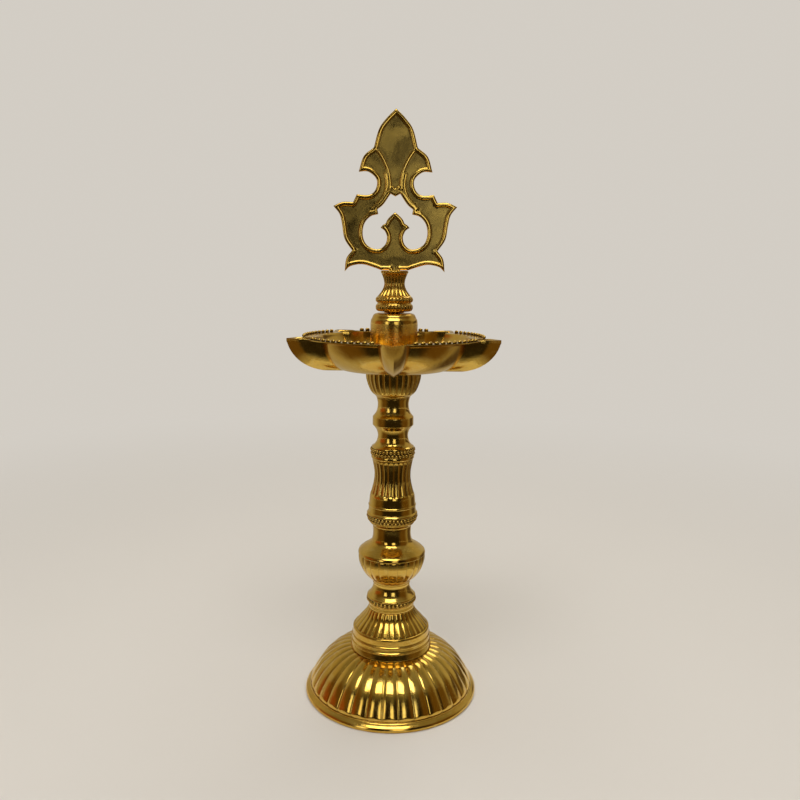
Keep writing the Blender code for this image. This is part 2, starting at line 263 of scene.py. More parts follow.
def ribs(count, depth, phase=0.0):
    """Small upright lobes round a ring, strongest at its middle."""
    def raised(angle, along, length, radius):
        across = np.abs(cells(angle, count, phase))
        swell = np.sin(np.pi * np.clip(along / length, 0, 1)) ** 0.5
        # the second number darkens the gaps between the ribs, as tarnish and painted shade
        return -depth * swell * across ** 2.2, 0.8 * ramp(across, 0.75, 1.0) * swell
    return raised


# ---- meshes

def linked(name, data):
    """A new object in the scene."""
    obj = bpy.data.objects.new(name, data)
    bpy.context.scene.collection.objects.link(obj)
    return obj


def record(mesh, name, values):
    """Keeps a number for each point of a mesh, for its material to read."""
    attribute = mesh.attributes.new(name, "FLOAT", "POINT")
    attribute.data.foreach_set("value", np.asarray(values, np.float32).ravel())


def piece(name, coords, faces, tarnish_and_shade, sharp=None):
    """A new smooth object from millimetres, with how dark its hollows are, as tarnish and painted shade,
    and its sharp edges' angle.
    """
    mesh = bpy.data.meshes.new(name)
    mesh.from_pydata((np.asarray(coords) * MM).tolist(), [], faces)
    mesh.update()
    mesh.shade_smooth()
    # how dark each point is, partly tarnish and partly painted shade in the hollows, for the material to
    # read
    record(mesh, "tarnish_and_shade", tarnish_and_shade)
    if sharp:
        mesh.set_sharp_from_angle(angle=math.radians(sharp))
    return linked(name, mesh)


def ring_faces(rows, columns, closed_rows):
    """Quads over a grid that closes round its columns."""
    i, j = np.meshgrid(np.arange(rows if closed_rows else rows - 1), np.arange(columns), indexing="ij")
    below, beside = (i + 1) % rows, (j + 1) % columns
    quads = np.stack([i * columns + j, below * columns + j, below * columns + beside,
                      i * columns + beside], -1)
    return quads.reshape(-1, 4).tolist()


def caps(rows, columns):
    """Fans that close a grid's first and last rows, from two poles that follow the grid's points."""
    last = (rows - 1) * columns
    head, foot = rows * columns, rows * columns + 1
    fans = []
    for j in range(columns):
        k = (j + 1) % columns
        fans.append([head, j, k])
        fans.append([foot, last + k, last + j])
    return fans


def lathe(name, outer, inner=(), columns=128, step=0.8, fine=(), reliefs=(), round_edge=0.22):
    """A turned piece with its relief.

    The outer outline runs down the outer side. The inner one goes on from its foot and comes
    back to its head. Either may end on the axis, and otherwise the two make a closed loop.
    Reliefs are (top, bottom, relief, dark), on the outer outline only. Dark scales how far the relief
    darkens its hollows, as tarnish and painted shade.
    """
    whole = eased(list(outer) + list(inner), round_edge)
    split = len(eased(list(outer) + list(inner)[:1], round_edge)) - 1
    head = spaced(whole[:split + 1], step, fine)
    tail = spaced(whole[split:], max(step, 2.5))[1:] if len(inner) else np.zeros((0, 2))
    line = np.vstack([head, tail])
    closed = line[0][0] > 1e-6
    if not closed and line[-1][0] > 1e-6:
        raise ValueError(name + ": an outline that starts on the axis also ends there")
    run = np.gradient(line, axis=0)
    normal = np.stack([-run[:, 1], run[:, 0]], 1)
    normal /= np.linalg.norm(normal, axis=1, keepdims=True) + 1e-12
    arc = np.concatenate([[0], np.cumsum(np.linalg.norm(np.diff(line, axis=0), axis=1))])
    angle = np.arange(columns) * math.tau / columns
    height = np.zeros((len(line), columns))
    tarnish_and_shade = np.zeros((len(line), columns))
    for high, low, relief, dark in reliefs:
        rows = np.flatnonzero((line[:len(head), 1] <= high + 1e-6) & (line[:len(head), 1] >= low - 1e-6))
        along = (arc[rows] - arc[rows[0]])[:, None]
        # each relief gives its rise and how dark it makes its hollows: tarnish and painted shade
        up, hollow_darkening = relief(angle[None, :], along, arc[rows[-1]] - arc[rows[0]], line[rows, 0][:, None])
        height[rows] += up
        tarnish_and_shade[rows] = np.maximum(tarnish_and_shade[rows], hollow_darkening * dark)
    radius = line[:, :1] + height * normal[:, :1]
    points = np.stack([radius * np.cos(angle), radius * np.sin(angle),
                       line[:, 1:] + height * normal[:, 1:]], -1)
    if closed:
        return piece(name, points.reshape(-1, 3), ring_faces(len(line), columns, True), tarnish_and_shade)
    body = points[1:-1].reshape(-1, 3)
    faces = ring_faces(len(line) - 2, columns, False) + caps(len(line) - 2, columns)
    coords = np.vstack([body, points[0, :1], points[-1, :1]])
    return piece(name, coords, faces, np.concatenate([tarnish_and_shade[1:-1].ravel(), [0, 0]]))


def placed(obj, body, slot, mat, *nodes):
    """Gives a piece its material, hangs it on the body it rides on, and hides the CAD parts that it stands
    for.
    """
    obj.data.materials.clear()
    obj.data.materials.append(mat)
    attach(obj, body)
    if nodes:
        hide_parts(*nodes)
    return obj


# ---- materials

class Nodes:
    """Short ways to add nodes to a material or to the world."""

    def __init__(self, owner, shader="Principled BSDF"):
        owner.use_nodes = True
        self.material = owner
        self.tree = owner.node_tree
        self.shader = self.tree.nodes[shader]

    def plug(self, socket, value):
        """Gives a socket a colour, a number or a link."""
        if isinstance(value, tuple):
            socket.default_value = (*value, 1.0)
        elif isinstance(value, (int, float)):
            socket.default_value = value
        else:
            self.tree.links.new(value, socket)

    def surface(self, name, value):
        """Sets or links one of the shader's own inputs."""
        self.plug(self.shader.inputs[name], value)

    def add(self, kind, links=None, values=None, **settings):
        """A node with its links, its constant values and its settings."""
        node = self.tree.nodes.new(kind)
        for key, value in settings.items():
            setattr(node, key, value)
        for key, value in (values or {}).items():
            node.inputs[key].default_value = value
        for key, value in (links or {}).items():
            self.tree.links.new(value, node.inputs[key])
        return node

    def noise(self, vector, scale, detail=2.0, rough=0.5, distortion=0.0):
        """Noise at a scale in features per metre, about 0.5 in the middle."""
        return self.add("ShaderNodeTexNoise", {"Vector": vector},
                        {"Scale": scale, "Detail": detail, "Roughness": rough,
                         "Distortion": distortion}).outputs["Fac"]

    def math(self, operation, a, b=0.5, clamp=False):
        """One operation on two sockets or numbers."""
        node = self.add("ShaderNodeMath", operation=operation, use_clamp=clamp)
        for socket, value in zip(node.inputs, (a, b)):
            self.plug(socket, value)
        return node.outputs[0]

    def between(self, value, low, high, to_low=0.0, to_high=1.0, kind="LINEAR"):
        """A value taken from one range to another, and held at its ends."""
        node = self.add("ShaderNodeMapRange", {"Value": value},
                        {"From Min": low, "From Max": high, "To Min": to_low, "To Max": to_high},
                        interpolation_type=kind)
        return node.outputs["Result"]

    def soft(self, value, low, high):
        """0 at low and 1 at high, with an eased rise between them."""
        return self.between(value, low, high, kind="SMOOTHSTEP")

    def glow(self, colour):
        """A plain surface that shows one colour or socket and takes no light."""
        for name, value in (("Base Color", (0, 0, 0)), ("Roughness", 1.0), ("Specular IOR Level", 0.0),
                            ("Emission Color", colour), ("Emission Strength", 1.0)):
            self.surface(name, value)

    def mix(self, factor, a, b):
        """A colour between two others, each a tuple or a socket."""
        node = self.add("ShaderNodeMix", data_type="RGBA")
        for key, value in (("Factor", factor), ("A", a), ("B", b)):
            socket = next(s for s in node.inputs if s.name == key
                          and s.type == ("VALUE" if key == "Factor" else "RGBA"))
            self.plug(socket, value)
        return next(s for s in node.outputs if s.type == "RGBA")

    def bump(self, height, distance, normal=None):
        """A normal bent by a height, on top of another bent normal if there is one."""
        links = {"Height": height}
        if normal is not None:
            links["Normal"] = normal
        return self.add("ShaderNodeBump", links,
                        {"Distance": distance, "Strength": 1.0}).outputs["Normal"]


def brass(name, rough, turned, wavy, colour=GOLD, mottled=0.3, field=False):
    """Polished brass: turning rings, a buffed wave, fine scratches, smears, and hollows darkened by tarnish
    and by painted shade.

    A field is the duller sunken ground of the pierced plate.
    """
    n = Nodes(bpy.data.materials.new(name))
    place = n.add("ShaderNodeTexCoord").outputs["Object"]
    xyz = n.add("ShaderNodeSeparateXYZ", {"Vector": place})
    hollow_darkening = n.add("ShaderNodeAttribute", attribute_name="tarnish_and_shade").outputs["Fac"]

    # colour: warm and pale areas, then a dark brown in the hollows that is partly tarnish and partly
    # painted shade
    cloud = n.noise(place, 22.0, 4.0, 0.55, 0.6)
    smear = n.noise(place, 95.0, 5.0, 0.6, 1.2)
    speck = n.noise(place, 900.0, 2.0, 0.6)
    tone = n.mix(n.between(cloud, 0.35, 0.68), GOLD_DEEP, colour)
    tone = n.mix(n.math("MULTIPLY", n.between(smear, 0.5, 0.75), 0.6), tone, GOLD_PALE)
    film = n.math("MULTIPLY", n.between(smear, 0.42, 0.3), mottled, clamp=True)
    tone = n.mix(film, tone, tuple(c * 0.45 for c in colour))
    if field:
        sunk = n.add("ShaderNodeAttribute", attribute_name="field").outputs["Fac"]
        patch = n.noise(place, 38.0, 4.0, 0.6, 0.8)
        dull = n.mix(n.between(patch, 0.38, 0.62), OLIVE_DEEP, OLIVE)
        tone = n.mix(n.math("MULTIPLY", sunk, 0.92), tone, dull)
    # painted shade: the hollows, creases and gaps between beads take the dark brown, partly as tarnish and
    # partly as shade painted into the colour
    uneven = n.math("MULTIPLY", n.between(speck, 0.3, 0.7, -0.25, 0.25), hollow_darkening)
    ragged = n.math("ADD", hollow_darkening, uneven, clamp=True)
    tone = n.mix(ragged, tone, TARNISH_AND_SHADE)
    n.surface("Base Color", tone)

    # roughness: smears of polish, worn satin patches and dull hollows
    gloss = n.between(smear, 0.3, 0.7, rough * 0.7, rough * 1.5)
    gloss = n.math("ADD", gloss, n.between(speck, 0.45, 0.75, 0.0, rough * 0.5))
    gloss = n.math("ADD", gloss, n.math("MULTIPLY", ragged, 0.33), clamp=True)
    if field:
        satin = n.math("MULTIPLY", sunk, n.between(patch, 0.35, 0.7, 0.06, 0.2))
        gloss = n.math("ADD", gloss, satin, clamp=True)
    n.surface("Roughness", gloss)
    n.surface("Metallic", 1.0)

    # bump: a slow wave from the buffing wheel, rings from the lathe, fine scratches and pits
    normal = n.bump(n.noise(place, 130.0, 2.0, 0.5, 0.4), 0.00011 * wavy)
    if turned:
        squashed = n.add("ShaderNodeCombineXYZ", {
            "X": n.math("MULTIPLY", xyz.outputs["X"], 0.02),
            "Y": n.math("MULTIPLY", xyz.outputs["Y"], 0.02), "Z": xyz.outputs["Z"]}).outputs[0]
        rings = n.noise(squashed, 900.0, 3.0, 0.65)
        normal = n.bump(rings, 0.000022 * turned, normal)
    long_way = n.add("ShaderNodeMapping", {"Vector": place},
                     {"Rotation": (0.5, 0.9, 0.3), "Scale": (1.0, 0.06, 1.0)}).outputs[0]
    scratch = n.noise(long_way, 2600.0, 2.0, 0.7)
    normal = n.bump(n.between(scratch, 0.62, 0.8), 0.000012, normal)
    pits = n.add("ShaderNodeTexVoronoi", {"Vector": place}, {"Scale": 420.0}).outputs["Distance"]
    normal = n.bump(n.between(pits, 0.0, 0.16), 0.000016, normal)
    n.surface("Normal", normal)
    return n.material


def leather(name):
    """Dark oiled leather with a fine grain."""
    n = Nodes(bpy.data.materials.new(name))
    place = n.add("ShaderNodeTexCoord").outputs["Object"]
    grain = n.add("ShaderNodeTexVoronoi", {"Vector": place}, {"Scale": 900.0}).outputs["Distance"]
    cloud = n.noise(place, 160.0, 3.0)
    n.surface("Base Color", n.mix(cloud, (0.11, 0.06, 0.035), (0.05, 0.028, 0.018)))
    n.surface("Roughness", n.between(cloud, 0.3, 0.7, 0.55, 0.8))
    n.surface("Normal", n.bump(grain, 0.0001))
    return n.material


# ---- the foot

def bell_foot():
    """The hollow cast foot: long convex lobes that end in a scalloped edge over a rolled lip."""
    dome = smooth([(33.6, 37.1), (40, 35.3), (48, 31.0), (56, 24.0), (61.8, 15.8), (65.2, 9.4),
                   (66.3, 6.4)])
    lip = [(66.0, 6.0), (66.3, 5.6), (67.8, 4.6), *smooth([(69.1, 3.5), (69.8, 1.9), (69.4, 0.4)]),
           (69.0, 0), (64.6, 0)]
    inside = smooth([(63.7, 0.8), (63.4, 5.0), (62.4, 9.0), (58.9, 15.0), (53.4, 22.6), (46.4, 28.5),
                     (39.2, 32.4), (33.4, 34.5)]) + [(26.4, 34.6), (26.0, 35.0), (26.0, 36.6), (26.4, 37.0)]
    panels = lobes(BELL_LOBES, 0.145, phase=-0.24, round_end=0.7, crease=0.22, power=4.5)
    return lathe("bell_foot", dome + lip, inside, columns=BELL_LOBES * 16, step=0.9,
                 fine=[(12.5, 0.0, 0.42)], reliefs=[(37.2, 6.35, panels, 0.5)])


def foot_collar():
    """The small lobed dome and the band with two raised rings."""
    top, bottom = TOP["base_collar"], SEAT["base_collar"]
    dome = smooth([(18.4, top), (21.2, 65.0), (24.8, 60.9), (27.6, 57.6), (30.0, 54.6)])
    band = [(30.5, 54.3), (30.95, 53.6), (31.15, 48.6), (31.75, 48.1), (31.8, 47.5), (31.3, 47.0),
            (31.6, 44.0), (32.25, 43.5), (32.3, 42.9), (31.85, 42.4), (32.9, bottom + 0.4),
            (32.9, bottom)]
    boss_foot = top - 12
    inside = [(30.4, bottom), (28.4, 52.4), (25.4, 55.8), (22.2, 59.4), (12, 63.0), (12, boss_foot),
              (BORE_R, boss_foot), (BORE_R, top - 0.6), (BORE_R + BORE_CHAMFER, top)]
    panels = lobes(DOME_LOBES, 0.16, phase=0.3, round_end=0.3, crease=0.15)
    return lathe("foot_collar", dome + band, inside, columns=DOME_LOBES * 16, step=0.7,
                 fine=[(56.5, 52.5, 0.35)], reliefs=[(top, 54.65, panels, 0.5)])


# ---- the two stem sections

def lower_section():
    """The beaded foot ring, the urn with its panels and sloping shoulder, and the neck."""
    top, bottom = TOP["lower_stem"], SEAT["lower_stem"]
    neck = smooth([(15.4, top), (15.1, 133), (15.5, 128.8), (16.5, 126.2), (18.2, 124.4)])
    shoulder = smooth([(20.3, 123.0), (24.0, 120.5), (26.3, 118.5), (26.95, 116.9)])
    urn = smooth([(26.9, 115.7), (26.4, 109.6), (24.3, 103.6), (20.8, 98.4), (16.7, 94.3), (15.2, 92.4)])
    waist = smooth([(15.2, 91.6), (14.75, 89.4), (15.2, 86.6), (16.6, 83.6), (18.7, 80.9)])
    ring = [(19.5, 80.3), (19.75, 79.5), (19.5, 78.9), (19.15, 78.6), (19.0, 75.5),
            (18.9, 75.3), (18.9, 74.6), (18.3, 74.1), (18.3, bottom)]
    head = bore(top, True, BORE_R)
    foot = bore(bottom, False, BORE_R)[::-1]
    panels = lobes(URN_PANELS, 0.13, phase=0.625, round_top=0.5, round_end=0.9, crease=0.22, power=5.0)
    return lathe("lower_section", head + neck + shoulder + urn + waist + ring, foot, columns=504,
                 step=0.75, fine=[(79.2, 74.5, 0.25), (116.5, 112.5, 0.35)],
                 reliefs=[(115.7, 92.9, panels, 0.5),
                          (78.6, 75.5, beads(LOWER_BEADS, 1.42, ground=0.15), 1.0)])


def upper_section():
    """The flanged vase with its flutes, the double bead ring, the plain ring and the two necks."""
    top, bottom = TOP["upper_stem"], SEAT["upper_stem"]
    top_neck = smooth([(12.9, top), (12.1, 237.6), (12.45, 233.4), (13.6, 230.3), (15.1, 228.2)])
    plain_ring = [(15.4, 227.9), (16.0, 227.2), (16.05, 220.9), (15.0, 219.7)]
    neck = smooth([(14.6, 219.2), (12.9, 216.7), (11.85, 212.5), (12.5, 208.5), (13.6, 206.2),
                   (15.2, 204.3)])
    bead_ring = [(16.5, 203.6), (16.7, 202.6), (16.7, 199.8), (16.5, 199.6), (16.5, 196.7),
                 (16.7, 196.5), (17.0, 195.6), (16.9, 194.6), (16.2, 193.9)]
    vase = smooth([(16.2, 193.4), (15.5, 189.8), (14.6, 184.5), (14.4, 180), (14.7, 176.2), (15.5, 172),
                   (16.7, 167.4), (17.6, 164.6)])
    band = [(17.9, 163.4), (18.5, 157.0), (18.95, 156.5), (19.0, 155.9), (18.65, 155.4), (19.0, 150.9)]
    flange = [(19.6, 150.4), (20.2, 149.6), (20.2, 148.9), (19.7, 148.4), (19.5, 148.2), (19.3, 145.9),
              (19.1, 145.7), (18.5, 143.5), (18.3, 143.2), (18.2, 142.2), (17.2, 141.0), (15.9, 139.9),
              (15.6, bottom)]
    head = bore(top, True, BORE_R)
    foot = bore(bottom, False, BORE_R)[::-1]
    hollows = flutes(VASE_FLUTES, 0.3, phase=0.3, round_top=1.2, round_end=1.0)
    return lathe("upper_section", head + top_neck + plain_ring + neck + bead_ring + vase + band + flange,
                 foot, columns=480, step=0.8, fine=[(203.0, 196.0, 0.24), (148.6, 143.0, 0.24)],
                 reliefs=[(202.6, 199.8, beads(UPPER_BEADS, 1.38, ground=0.1), 1.0),
                          (199.6, 196.7, beads(UPPER_BEADS, 1.38, ground=0.1, phase=0.5), 1.0),
                          (192.9, 164.8, hollows, 0.5),
                          (148.2, 145.9, beads(FLANGE_BEADS, 1.3, ground=0.1), 1.0),
                          (145.7, 143.5, beads(FLANGE_BEADS, 1.2, ground=0.1, phase=0.5), 1.0)])


# ---- the dish section

def cup():
    """The fluted cup that the dish rests in."""
    top, bottom = TOP["dish_cup"], SEAT["dish_cup"]
    side = smooth([(20.9, top), (21.45, 261), (21.25, 257.5), (20.1, 253), (18.2, 248.4), (16.2, 245.7)])
    foot = [(15.2, 244.9), (14.6, 244.5), (14.2, 243.9), (13.4, 243.4), (13.2, bottom)]
    mouth = BORE_R + BORE_CHAMFER
    inside = [(mouth, bottom), (BORE_R, bottom + 0.6), (BORE_R, top - 0.6), (mouth, top)]
    hollows = flutes(CUP_FLUTES, 0.3, round_top=1.1, round_end=2.0)
    return lathe("fluted_cup", side + foot, inside, columns=480, step=0.5,
                 reliefs=[(262.6, 246.2, hollows, 0.55)])


def socket():
    """The post with the double shoulder that clamps the dish and takes the finial."""
    top, bottom = TOP["dish_socket"], SEAT["dish_socket"]
    head = bore(top, True, FINIAL_BORE_R)
    shoulder = smooth([(13.2, top), (15.0, 307.0), (16.1, 305.9), (16.7, 304.5)])
    wall = smooth([(17.1, 303.7), (17.8, 302.4), (18.15, 300.4), (18.2, 298)])
    foot = [(18.2, bottom + 0.5), (17.8, bottom)] + bore(bottom, False, BORE_R)[::-1]
    return lathe("finial_socket", head + shoulder + wall, foot, columns=160, step=0.6)


def dish_level(turn, inset=0.0):
    """The bowl's radius, the keel's radius, half a spout's width and the height, at one level."""
    angle = math.radians(turn)
    rise = TOP["oil_dish"] - SEAT["oil_dish"] - inset
    height = TOP["oil_dish"] - rise * max(math.cos(angle), 0) ** WALL_POWER
    bowl = DISH_FLOOR_R + (DISH_WALL_R - DISH_FLOOR_R) * math.sin(angle) - inset
    keel = DISH_FLOOR_R + (SPOUT_TIP_R - DISH_FLOOR_R) * math.sin(angle) ** KEEL_POWER - 1.8 * inset
    half_width = SPOUT_HALF_WIDTH * math.sin(angle) - 0.7 * inset
    return bowl, keel, half_width, height, math.sin(angle) / 2


def dish_ring(bowl, keel, half_width, height, square=0.5, lip=0.0, lip_height=0.0):
    """Points round one level: five pointed spouts with a round lobe between each two.

    Square is 0 for a plain wedge, and more for a prow with shoulders. Where there is a lip, it
    stands out from the lobes, and each prow stops where it meets it.
    """
    prow_steps, lobe_steps = 14, 36
    crease_x = math.sqrt(bowl ** 2 - half_width ** 2)
    fine = np.linspace(0, 1, 400)
    out_x = keel - (keel - crease_x) * (fine + (fine ** ARCH_POWER - fine) * square)
    out_y = half_width * fine
    if lip:
        keep = np.hypot(out_x, out_y) >= lip
        out_x, out_y = out_x[keep], out_y[keep]
    arc = np.concatenate([[0], np.cumsum(np.hypot(np.diff(out_x), np.diff(out_y)))])
    steps = np.linspace(0, arc[-1], prow_steps + 1)
    x, y = np.interp(steps, arc, out_x), np.interp(steps, arc, out_y)
    r, a = np.hypot(x, y), np.arctan2(y, x)
    lobe = math.tau / SPOUTS - 2 * a[-1]
    z = np.full(prow_steps + 1, height)
    side_a = a[-1] + lobe * np.arange(1, lobe_steps) / lobe_steps
    side_r = np.full(lobe_steps - 1, r[-1])
    side_z = np.full(lobe_steps - 1, lip_height or height)
    if lip:
        z = z + (lip_height - height) * ramp(r, DISH_LIP_R + 2.5, DISH_LIP_R)
    r = np.concatenate([r, side_r, r[:0:-1]])
    a = np.concatenate([a, side_a, math.tau / SPOUTS - a[:0:-1]])
    z = np.concatenate([z, side_z, z[:0:-1]])
    spouts = [-math.pi / 2 + math.tau * spout / SPOUTS for spout in range(SPOUTS)]
    return np.vstack([np.stack([r * np.cos(a + s), r * np.sin(a + s), z], 1) for s in spouts])


def dish():
    """The cast dish: a floor, a lobed wall with five spouts, and an out-turned lip on the lobes."""
    rim = TOP["oil_dish"]
    floor = SEAT["oil_dish"]
    lip_top = rim - 0.35

    def lip(inset, drop, mouth_drop, pinch=0.0):
        """A ring of the lip, in from its edge and down from its top, with the mouths narrowed."""
        return dish_ring(DISH_WALL_R, SPOUT_TIP_R - pinch, SPOUT_HALF_WIDTH - pinch, rim - mouth_drop,
                         0.5, DISH_LIP_R - inset, lip_top - drop)

    outside = [dish_ring(*dish_level(turn)) for turn in np.linspace(14, 79, 28)]
    edge = [lip(7.7, 2.0, 2.4), lip(4.3, 1.5, 2.0), lip(1.1, 1.1, 1.6), lip(0.1, 0.9, 1.2),
            lip(0, 0.6, 0.6), lip(0, 0.35, 0.2), lip(0.25, 0.05, 0.03, 0.15), lip(0.6, 0, 0, 0.4),
            lip(1.5, 0, 0, 0.6), lip(2.5, 0, 0, 0.8), lip(5.0, 0.1, 0, 1.2)]
    bowl, inner_keel, half_width, _, _ = dish_level(90, DISH_WALL)
    edge += [dish_ring(bowl + 0.3, inner_keel + 0.5, half_width + 0.3, lip_top - 0.1),
             dish_ring(bowl, inner_keel, half_width, lip_top - 0.6)]
    inside = [dish_ring(*dish_level(turn, DISH_WALL)) for turn in np.linspace(82, 14, 28)]
    around = np.arctan2(outside[0][:, 1], outside[0][:, 0])

    def floor_ring(radius, height):
        return np.stack([radius * np.cos(around), radius * np.sin(around),
                         np.full(len(around), height)], 1)

    def blend(ring, share, height):
        """Part of the way from the flat seat out to the wall's first ring."""
        low = floor_ring(DISH_SEAT_R, height)
        mixed = low + (ring - low) * share
        mixed[:, 2] = height + (ring[:, 2] - height) * share ** 2
        return mixed

    shares = (0.2, 0.4, 0.6, 0.8)
    inner = [blend(inside[-1], share, floor + DISH_WALL) for share in shares[::-1]]
    inner += [floor_ring(radius, floor + DISH_WALL) for radius in (DISH_SEAT_R, BORE_R)]
    outer = [floor_ring(radius, floor) for radius in (BORE_R, DISH_SEAT_R)]
    outer += [blend(outside[0], share, floor) for share in shares]
    points = np.array(outer + outside + edge + inside + inner)[::-1]
    rows, columns = points.shape[:2]
    flat = points.reshape(-1, 3)
    reach = np.hypot(flat[:, 0], flat[:, 1])
    # the lip's top along the row of rim beads is darkened, as tarnish and painted shade between the beads
    off_row = np.abs(reach - DISH_LIP_R + 1.1)
    between_beads = (flat[:, 2] > lip_top - 0.2) * (1 - ramp(off_row, 1.0, 1.4))
    return piece("oil_dish_body", flat, ring_faces(rows, columns, True), 0.9 * between_beads, sharp=38)


def rim_beads():
    """The row of cast beads on the lip of each lobe; the spouts' mouths are plain."""
    rings, sides = 7, 14
    tilt = np.arange(1, rings) * math.pi / rings
    turn = np.arange(sides) * math.tau / sides
    ball = np.stack([np.outer(np.sin(tilt), np.cos(turn)),
                     RIM_BEAD_LONG * np.outer(np.sin(tilt), np.sin(turn)),
                     np.outer(np.cos(tilt), np.ones(sides))], -1).reshape(-1, 3)
    ball = np.vstack([ball, [[0, 0, 1], [0, 0, -1]]]) * RIM_BEAD_R
    ball_faces = ring_faces(rings - 1, sides, False) + caps(rings - 1, sides)
    coords, faces = [], []
    for spout in range(SPOUTS):
        middle = -90 + 360 / SPOUTS * (spout + 0.5)
        for k in range(RIM_BEADS):
            angle = math.radians(middle + RIM_BEAD_PITCH * (k - (RIM_BEADS - 1) / 2))
            along = np.array([[math.cos(angle), math.sin(angle), 0],
                              [-math.sin(angle), math.cos(angle), 0], [0, 0, 1]])
            centre = along[0] * (DISH_LIP_R - RIM_BEAD_INSET) + np.array([0, 0, TOP["oil_dish"] + 0.45])
            faces += [[i + len(coords) * len(ball) for i in face] for face in ball_faces]
            coords.append(ball @ along + centre)
    coords = np.vstack(coords)
    # painted shade: each bead is darker on its lower half, where it sits on the lip
    low = 1 - ramp(coords[:, 2], TOP["oil_dish"], TOP["oil_dish"] + 1.1)
    return piece("oil_dish_rim_beads", coords, faces, 0.85 * low)


# ---- the finial

def finial_waist():
    """The waisted stem under the plate: fluted, with a beaded top edge and two ribbed rings."""
    top, bottom = TOP["finial_stem"], SEAT["finial_stem"]
    edge = [(0, top), (9.6, top), (10.4, top - 0.4), (10.6, top - 1.2), (10.2, top - 1.9)]
    waist = smooth([(9.9, top - 2.2), (8.7, 334.6), (7.9, 331.4), (7.9, 328.6), (9.2, 325.1),
                    (11.6, 321.7), (13.2, 320.0)])
    rings = [(13.9, 319.4), (14.4, 318.3), (14.35, 317.0), (13.7, 316.1), (12.9, 315.5), (13.0, 314.8),
             (13.9, 313.9), (14.3, 312.7), (14.2, 310.9), (13.5, 309.7), (12.4, 309.0), (8.3, 308.9),
             (7.7, 308.5), (7.7, bottom)]
    foot = bore(bottom, False, FINIAL_BORE_R)[::-1]
    hollows = flutes(WAIST_FLUTES, 0.5, round_top=0.8, round_end=1.0)
    return lathe("finial_waist", edge + waist + rings, foot, columns=480, step=0.45, round_edge=0.3,
                 reliefs=[(top - 0.3, top - 2.0, ribs(WAIST_FLUTES, 0.8), 0.8),
                          (top - 2.4, 320.3, hollows, 0.75),
                          (319.7, 315.9, ribs(RING_RIBS, 0.9), 0.7),
                          (314.3, 309.5, ribs(RING_RIBS, 0.9, phase=0.5), 0.7)])


def half_outline():
    """The right half of the plate's outer edge, from the tip down to the stem, in (x, z)."""
    leaf = smooth([(0, TOP["finial_plate"]), (7.0, 450.2), (12.6, 442.4), (16.3, 429.3)])
    side_lobe = smooth([(16.3, 429.3), (23.8, 423.0), (27.4, 412)])
    waist = smooth([(27.4, 412), (20.8, 412.2), (15.3, 408.4), (13.7, 403.7), (15.6, 398),
                    (20.4, 395.1), (28.8, 395.6)])
    shoulder = [(28.8, 395.6), (31.6, 389.9)]
    wing_top = smooth([(31.6, 389.9), (39.2, 390.0), (46.4, 387.0)])
    wing_side = smooth([(46.4, 387.0), (41.7, 381), (39.9, 373.8), (38.0, 363), (32.3, 354.4)])
    claw = smooth([(32.3, 354.4), (36.7, 348.3), (37.9, 338.8)])
    under = smooth([(37.9, 338.8), (33.5, 342.7), (24.8, 344.2), (16, 342), (10.4, TANG_TOP)])
    tang = [(10.4, TANG_TOP), (TANG_HALF_WIDTH, TANG_TOP), (TANG_HALF_WIDTH, SEAT["finial_plate"])]
    runs = [leaf, side_lobe, waist, shoulder, wing_top, wing_side, claw, under]
    return [point for run in runs for point in run[:-1]] + tang


def half_opening():
    """The right half of the plate's opening, from the pendant down to the inner leaf's tip."""
    stalk = smooth([(3.6, 396.3), (8.9, 388.7), (13.4, 384.9)])
    lobe = smooth([(12.7, 381.4), (18.6, 379.6), (23.2, 374.2), (24.4, 366.6), (22.3, 360),
                   (17.2, 356.2), (11.4, 355.8), (7.2, 359.3), (6.0, 364.4), (7.4, 368.5), (9.0, 370.2),
                   (10.9, 371.4)])
    barb = smooth([(10.9, 371.4), (9.3, 373.3), (7.0, 374.7)])
    inner_leaf = barb[:-1] + smooth([(7.0, 374.7), (5.7, 377.5), (2.9, 380.5), (0, 382.8)])
    return [(0, 394.4)] + stalk + lobe[:-1] + inner_leaf


def plate_ridges():
    """Raised lines on the plate's field: the leaf's borders, their stalks and a pendant between."""
    leaf_side = smooth([(15.6, 429.0), (12.2, 425.4), (8.6, 419.5), (5.6, 412.5), (4.3, 405.0),
                        (4.4, 399.6)])
    stalk = smooth([(7.6, 411.0), (6.6, 404.6), (7.0, 399.0), (9.4, 393.4), (14.0, 388.0), (16.6, 385.4)])
    cusp = smooth([(15.4, 386.4), (15.0, 383.6), (19.0, 382.2)])
    pendant = smooth([(-2.6, 401.0), (0, 398.6), (2.6, 401.0)])
    both = [[(side * x, z) for x, z in line] for line in (leaf_side, stalk, cusp) for side in (1, -1)]
    return [dense(line, PLATE_GAP, False) for line in [*both, pendant]]


def dense(points, gap, closed):
    """Points along a line, no further apart than the gap."""
    points = [np.array(p, float) for p in points]
    ends = points[1:] + (points[:1] if closed else [])
    out = []
    for a, b in zip(points, ends):
        count = max(1, round(np.linalg.norm(b - a) / gap))
        out += [a + (b - a) * k / count for k in range(count)]
    return np.array(out if closed else out + [points[-1]])


def distance_to(points, line, closed):
    """The distance from each point to a line of short segments."""
    start = line if closed else line[:-1]
    end = np.roll(line, -1, axis=0) if closed else line[1:]
    run = end - start
    length = (run ** 2).sum(1) + 1e-12
    nearest = np.full(len(points), 1e9)
    for block in range(0, len(points), 2000):
        p = points[block:block + 2000, None, :]
        t = np.clip(((p - start) * run).sum(2) / length, 0, 1)
        gap = np.linalg.norm(p - (start + t[..., None] * run), axis=2)
        nearest[block:block + 2000] = gap.min(1)
    return nearest


